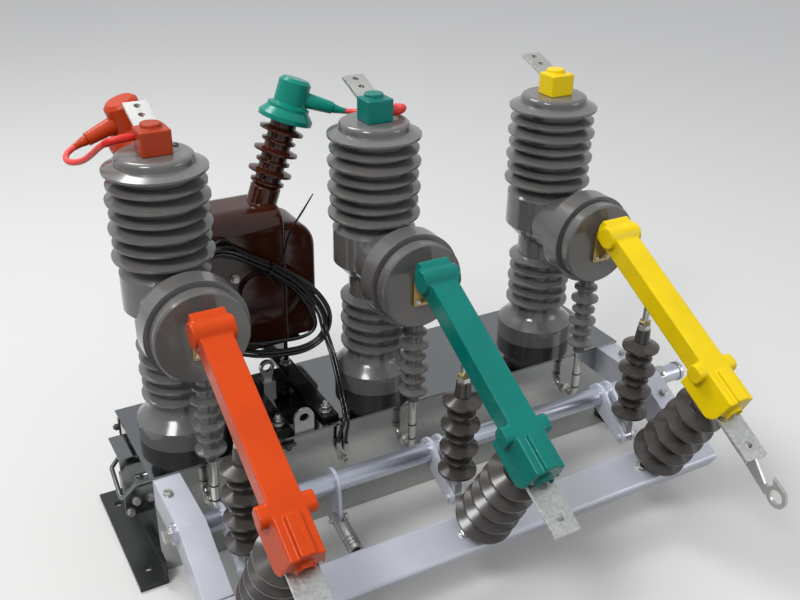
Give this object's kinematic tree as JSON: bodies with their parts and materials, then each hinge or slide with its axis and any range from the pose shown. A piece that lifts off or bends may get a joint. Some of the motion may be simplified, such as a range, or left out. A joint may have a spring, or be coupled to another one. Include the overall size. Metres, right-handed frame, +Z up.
{
  "type": "automatic circuit recloser",
  "caption": "Three-pole outdoor vacuum recloser on a stainless box, with a ganged knife disconnector and a voltage transformer.",
  "frame": {"origin": "on the floor, on the box's underside, straight below the middle pole's axis", "axes": "+X along the box from the red pole to the yellow one, +Y away from the disconnector, +Z up"},
  "size_m": [1.091, 0.899, 0.7692],
  "materials": {
    "stainless_box": "mirror polished stainless steel",
    "foot_steel": "dark painted steel",
    "epoxy_grey": "glossy grey cast epoxy",
    "conduit_steel": "polished stainless tube",
    "red_cap": "satin silicone rubber",
    "green_cap": "satin silicone rubber",
    "yellow_cap": "satin silicone rubber",
    "tinned_copper": "tinned plate",
    "copper": "bare copper",
    "red_cover": "gloss moulded plastic",
    "green_cover": "gloss moulded plastic",
    "yellow_cover": "gloss moulded plastic",
    "galvanised": "galvanised, with spangle",
    "insulator_grey": "satin brown-grey epoxy",
    "frame_paint": "silver-grey powder coat",
    "zinc": "bright zinc",
    "hook_zinc": "zinc plated sheet",
    "end_stainless": "mirror polished stainless steel",
    "stand_black": "gloss black paint",
    "brown_resin": "glossy dark brown resin",
    "red_hood": "silicone rubber",
    "green_hood": "silicone rubber",
    "lead_red": "silicone cable",
    "lead_black": "black cable"
  },
  "bodies": {
    "frame": {"mechanism_box": "stainless_box", "box_lid": "stainless_box", "base_rails": "foot_steel", "pole_red": "epoxy_grey", "pole_green": "epoxy_grey", "pole_yellow": "epoxy_grey", "current_transformer_red": "epoxy_grey", "current_transformer_green": "epoxy_grey", "current_transformer_yellow": "epoxy_grey", "secondary_bushings": "epoxy_grey", "lead_conduits": "conduit_steel", "terminal_cap_red": "red_cap", "terminal_cap_green": "green_cap", "terminal_cap_yellow": "yellow_cap", "top_terminals": "tinned_copper", "hinge_contacts": "copper", "outlet_terminal_red": "galvanised", "outlet_terminal_green": "galvanised", "outlet_terminal_yellow": "galvanised", "post_insulator_red": "insulator_grey", "post_insulator_green": "insulator_grey", "post_insulator_yellow": "insulator_grey", "left_arm": "frame_paint", "right_arm": "frame_paint", "front_beam": "frame_paint", "lifting_lug": "zinc", "lifting_eye": "zinc", "tail_lugs": "zinc", "hook_plate": "hook_zinc", "end_bracket": "end_stainless", "pull_handle": "end_stainless", "vt_stand": "stand_black", "voltage_transformer": "brown_resin", "vt_hood_red": "red_hood", "vt_hood_green": "green_hood", "hv_lead_red": "lead_red", "hv_lead_green": "lead_red", "secondary_hank": "lead_black", "secondary_tail_left": "lead_black", "secondary_tail_right": "lead_black"},
    "operating_shaft": {"shaft": "frame_paint", "rod_levers": "frame_paint", "operating_lever": "frame_paint"},
    "coupling": {"coupling": "zinc"},
    "blade_red": {"knife_blade_red": "copper", "blade_cover_red": "red_cover"},
    "pull_rod_red": {"pull_insulator_red": "insulator_grey", "rod_fittings_red": "zinc"},
    "blade_green": {"knife_blade_green": "copper", "blade_cover_green": "green_cover"},
    "pull_rod_green": {"pull_insulator_green": "insulator_grey", "rod_fittings_green": "zinc"},
    "blade_yellow": {"knife_blade_yellow": "copper", "blade_cover_yellow": "yellow_cover"},
    "pull_rod_yellow": {"pull_insulator_yellow": "insulator_grey", "rod_fittings_yellow": "zinc"}
  },
  "joints": [
    {"name": "shaft_turn", "type": "hinge", "parent": "frame", "child": "operating_shaft", "pos_m": [0, -0.231, 0.176], "axis": [-1, 0, 0], "range_deg": [0, 52]},
    {"name": "coupling_pivot", "type": "hinge", "parent": "operating_shaft", "child": "coupling", "pos_m": [-0.197, -0.249, 0.11], "axis": [-1, 0, 0], "range_deg": [-130, 20]},
    {"name": "blade_red_swing", "type": "hinge", "parent": "frame", "child": "blade_red", "pos_m": [-0.38, -0.222, 0.508], "axis": [-1, 0, 0], "range_deg": [0, 41.09]},
    {"name": "pull_rod_red_pivot", "type": "hinge", "parent": "operating_shaft", "child": "pull_rod_red", "pos_m": [-0.38, -0.305, 0.127], "axis": [-1, 0, 0], "range_deg": [-53.05, 0]},
    {"name": "blade_green_swing", "type": "hinge", "parent": "frame", "child": "blade_green", "pos_m": [0, -0.222, 0.508], "axis": [-1, 0, 0], "range_deg": [0, 41.09]},
    {"name": "pull_rod_green_pivot", "type": "hinge", "parent": "operating_shaft", "child": "pull_rod_green", "pos_m": [0, -0.305, 0.127], "axis": [-1, 0, 0], "range_deg": [-53.05, 0]},
    {"name": "blade_yellow_swing", "type": "hinge", "parent": "frame", "child": "blade_yellow", "pos_m": [0.38, -0.222, 0.508], "axis": [-1, 0, 0], "range_deg": [0, 41.09]},
    {"name": "pull_rod_yellow_pivot", "type": "hinge", "parent": "operating_shaft", "child": "pull_rod_yellow", "pos_m": [0.38, -0.305, 0.127], "axis": [-1, 0, 0], "range_deg": [-53.05, 0]}
  ],
  "couplings": [
    {"joint": "blade_red_swing", "follows": "shaft_turn", "ratio": 0.79},
    {"joint": "pull_rod_red_pivot", "follows": "shaft_turn", "ratio": -1.02},
    {"joint": "blade_green_swing", "follows": "shaft_turn", "ratio": 0.79},
    {"joint": "pull_rod_green_pivot", "follows": "shaft_turn", "ratio": -1.02},
    {"joint": "blade_yellow_swing", "follows": "shaft_turn", "ratio": 0.79},
    {"joint": "pull_rod_yellow_pivot", "follows": "shaft_turn", "ratio": -1.02}
  ]
}
